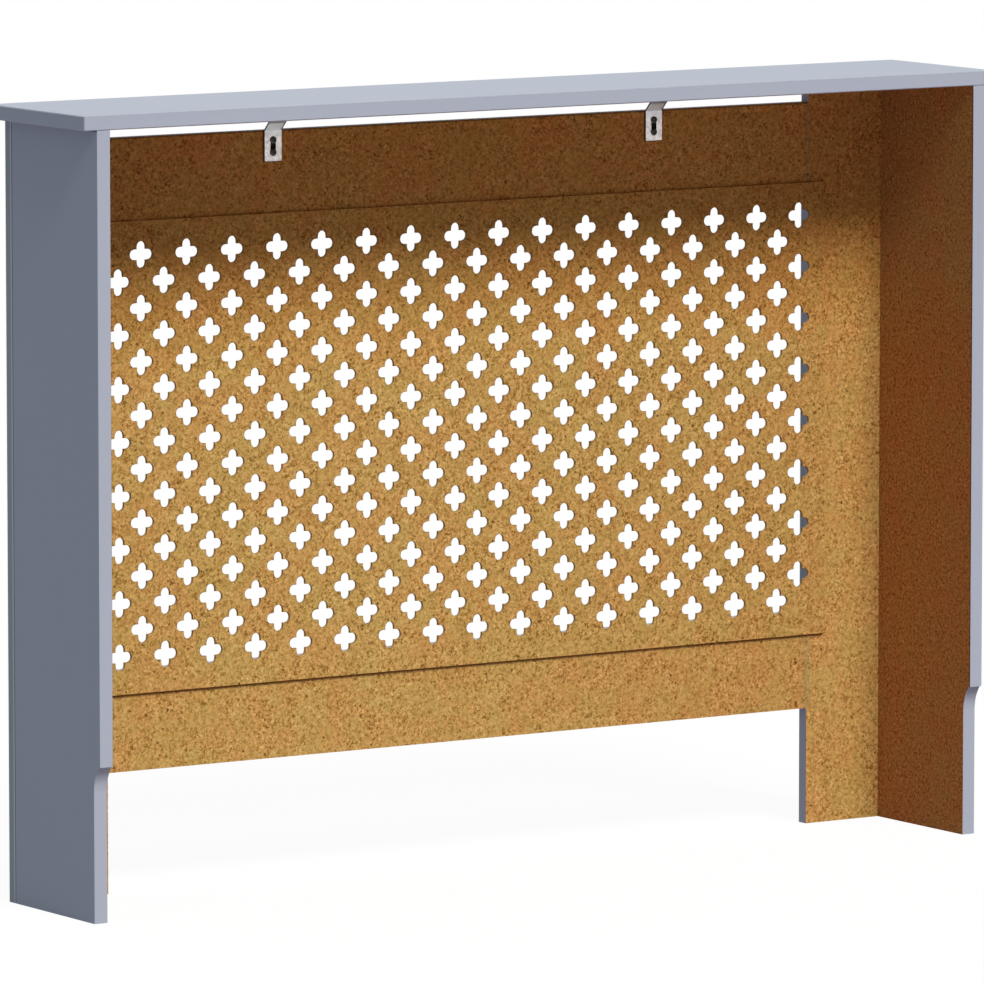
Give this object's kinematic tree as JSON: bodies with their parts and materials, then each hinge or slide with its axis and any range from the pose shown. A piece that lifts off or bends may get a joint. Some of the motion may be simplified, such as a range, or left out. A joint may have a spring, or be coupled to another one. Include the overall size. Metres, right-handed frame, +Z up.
{
  "type": "radiator cover cabinet",
  "caption": "Painted MDF radiator cover: overhanging shelf, side panels with skirting notches, framed front with a pierced grille panel, open at the back, air gaps above and below.",
  "frame": {"origin": "centre of the footprint, on the floor", "axes": "+X across the cover, to the right of a person in front of it; +Y towards the wall; +Z up"},
  "size_m": [1.12, 0.19, 0.815],
  "materials": {
    "painted_mdf": "matt grey-blue paint on the show faces and edges, bare brown board on the inner faces",
    "bare_hardboard": "bare speckled brown back, painted front",
    "zinc_steel": "dull zinc",
    "black_steel": "black oxide",
    "beech": "pressed beech"
  },
  "bodies": {
    "root": {"top_shelf": "painted_mdf", "top_rail": "painted_mdf", "bottom_rail": "painted_mdf", "grille_panel": "bare_hardboard", "left_side_panel": "painted_mdf", "right_side_panel": "painted_mdf", "left_front_stile": "painted_mdf", "right_front_stile": "painted_mdf", "left_shelf_bracket": "zinc_steel", "right_shelf_bracket": "zinc_steel", "left_bracket_rail_screws": "black_steel", "right_bracket_rail_screws": "black_steel", "left_bracket_shelf_screw": "black_steel", "right_bracket_shelf_screw": "black_steel", "left_shelf_biscuits": "beech", "right_shelf_biscuits": "beech", "left_stile_biscuits": "beech", "right_stile_biscuits": "beech", "left_rail_biscuits": "beech", "right_rail_biscuits": "beech"}
  },
  "joints": []
}
